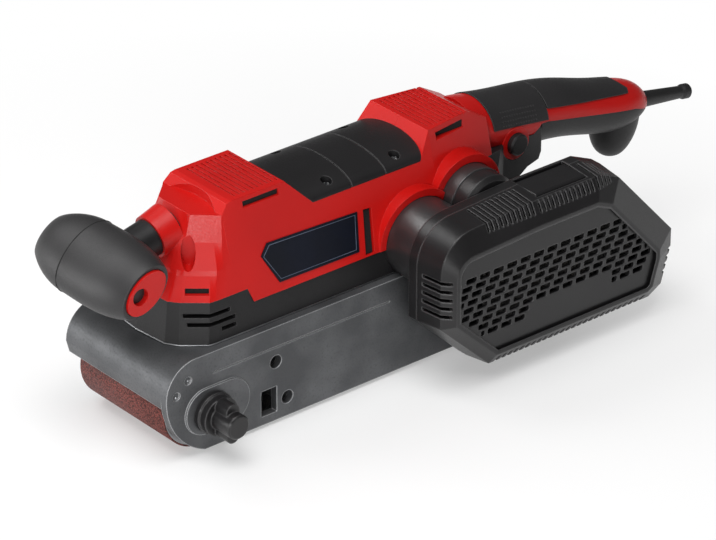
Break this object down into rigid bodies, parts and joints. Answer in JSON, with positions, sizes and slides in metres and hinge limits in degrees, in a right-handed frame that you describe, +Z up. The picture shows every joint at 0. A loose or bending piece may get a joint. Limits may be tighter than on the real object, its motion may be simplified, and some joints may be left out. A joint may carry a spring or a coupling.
{
  "type": "belt sander",
  "caption": "Hand-held belt sander: cast side frame with belt and rollers, moulded housing, rear trigger handle, front grip and pull-off side dust box with a grille.",
  "frame": {"origin": "centre of the sanding face, on the underside of the belt", "axes": "+X from the nose to the rear handle, +Y to the open belt side with the tension lever, +Z up"},
  "size_m": [0.4584, 0.1385, 0.134],
  "materials": {
    "red_plastic": "satin",
    "black_plastic": "fine grain",
    "black_rubber": "matte",
    "cast_aluminium": "cast, painted grey",
    "steel": "machined",
    "abrasive_cloth": "gritty",
    "graphite": "matte",
    "copper": "bare",
    "label_film": "gloss",
    "filter_cloth": "woven"
  },
  "bodies": {
    "frame": {"housing_left": "red_plastic", "housing_right": "red_plastic", "grip_cap": "red_plastic", "vent_band": "black_plastic", "rear_shell": "black_plastic", "handle_lower": "black_plastic", "motor_cover": "black_plastic", "front_grip_right": "black_plastic", "grip_neck": "black_plastic", "dust_port": "black_plastic", "drive_cover": "black_plastic", "drive_boss": "black_plastic", "brush_holders": "black_plastic", "trigger_switch": "black_plastic", "front_grip_left": "black_plastic", "soft_grips": "black_rubber", "cable_sleeve": "black_rubber", "toothed_belt": "black_rubber", "cast_frame": "cast_aluminium", "gear_case": "cast_aluminium", "end_shield": "cast_aluminium", "platen": "steel", "tension_spring": "steel", "lever_pin": "steel", "drive_bearings": "steel", "stator": "steel", "motor_bearings": "steel", "layshaft_bearings": "steel", "screws": "steel", "sanding_belt": "abrasive_cloth", "platen_pad": "graphite", "carbon_brushes": "graphite", "field_coils": "copper", "label_plate": "label_film"},
    "tension_carriage": {"tension_carriage": "steel", "front_axle": "steel", "front_bearings": "steel"},
    "front_roller": {"front_roller": "cast_aluminium"},
    "tracking_knob": {"tracking_knob": "black_plastic", "tracking_screw": "steel"},
    "tension_lever": {"tension_lever": "steel"},
    "armature": {"motor_shaft": "steel", "armature": "steel", "commutator": "copper", "cooling_fan": "black_plastic", "bevel_pinion": "steel"},
    "layshaft": {"layshaft": "steel", "bevel_gear": "steel", "drive_pulley": "steel"},
    "drive_roller": {"drive_roller": "cast_aluminium", "roller_rubber": "black_rubber", "drive_shaft": "steel", "driven_pulley": "steel"},
    "trigger": {"trigger": "black_plastic"},
    "lock_button": {"lock_button": "black_plastic"},
    "dust_box": {"dust_box": "black_plastic", "dust_cover": "black_plastic", "dust_grille": "black_plastic", "dust_filter": "filter_cloth"},
    "dust_latch": {"dust_latch": "black_plastic"}
  },
  "joints": [
    {"name": "tension_slide", "type": "slide", "parent": "frame", "child": "tension_carriage", "axis": [1, 0, 0], "range_m": [0, 0.006], "stiffness_N_per_m": 4000, "springref_m": -0.012, "deforming": ["tension_spring"]},
    {"name": "tension_lever_pivot", "type": "hinge", "parent": "frame", "child": "tension_lever", "pos_m": [-0.0495, 0.041, 0.0255], "axis": [0, 0, 1], "range_deg": [0, 65]},
    {"name": "front_roller_spin", "type": "hinge", "parent": "tension_carriage", "child": "front_roller", "pos_m": [-0.09398, 0, 0.0255], "axis": [0, 1, 0], "continuous": true},
    {"name": "tracking_turn", "type": "hinge", "parent": "tension_carriage", "child": "tracking_knob", "pos_m": [-0.09398, 0, 0.0255], "axis": [0, 1, 0], "range_deg": [-180, 180]},
    {"name": "armature_spin", "type": "hinge", "parent": "frame", "child": "armature", "pos_m": [0, 0, 0.09], "axis": [1, 0, 0], "continuous": true},
    {"name": "layshaft_spin", "type": "hinge", "parent": "frame", "child": "layshaft", "pos_m": [0.098, 0, 0.09], "axis": [0, 1, 0], "continuous": true},
    {"name": "drive_roller_spin", "type": "hinge", "parent": "frame", "child": "drive_roller", "pos_m": [0.09398, 0, 0.0255], "axis": [0, 1, 0], "continuous": true},
    {"name": "trigger_press", "type": "hinge", "parent": "frame", "child": "trigger", "pos_m": [0.204, 0, 0.086], "axis": [0, 1, 0], "range_deg": [0, 8], "stiffness_Nm_per_rad": 0.3, "springref_deg": -8.59},
    {"name": "lock_button_press", "type": "slide", "parent": "frame", "child": "lock_button", "axis": [0, 1, 0], "range_m": [0, 0.003], "stiffness_N_per_m": 300, "springref_m": -0.003},
    {"name": "dust_box_pull", "type": "slide", "parent": "frame", "child": "dust_box", "axis": [0, -1, 0], "range_m": [0, 0.03]},
    {"name": "dust_latch_lift", "type": "hinge", "parent": "dust_box", "child": "dust_latch", "pos_m": [0.129, -0.064, 0.102], "axis": [-1, 0, 0], "range_deg": [0, 35]}
  ],
  "couplings": [
    {"joint": "tension_lever_pivot", "follows": "tension_slide", "rad_per_m": 189},
    {"joint": "layshaft_spin", "follows": "armature_spin", "ratio": -0.45},
    {"joint": "drive_roller_spin", "follows": "armature_spin", "ratio": -0.3375},
    {"joint": "front_roller_spin", "follows": "armature_spin", "ratio": -0.3375}
  ]
}
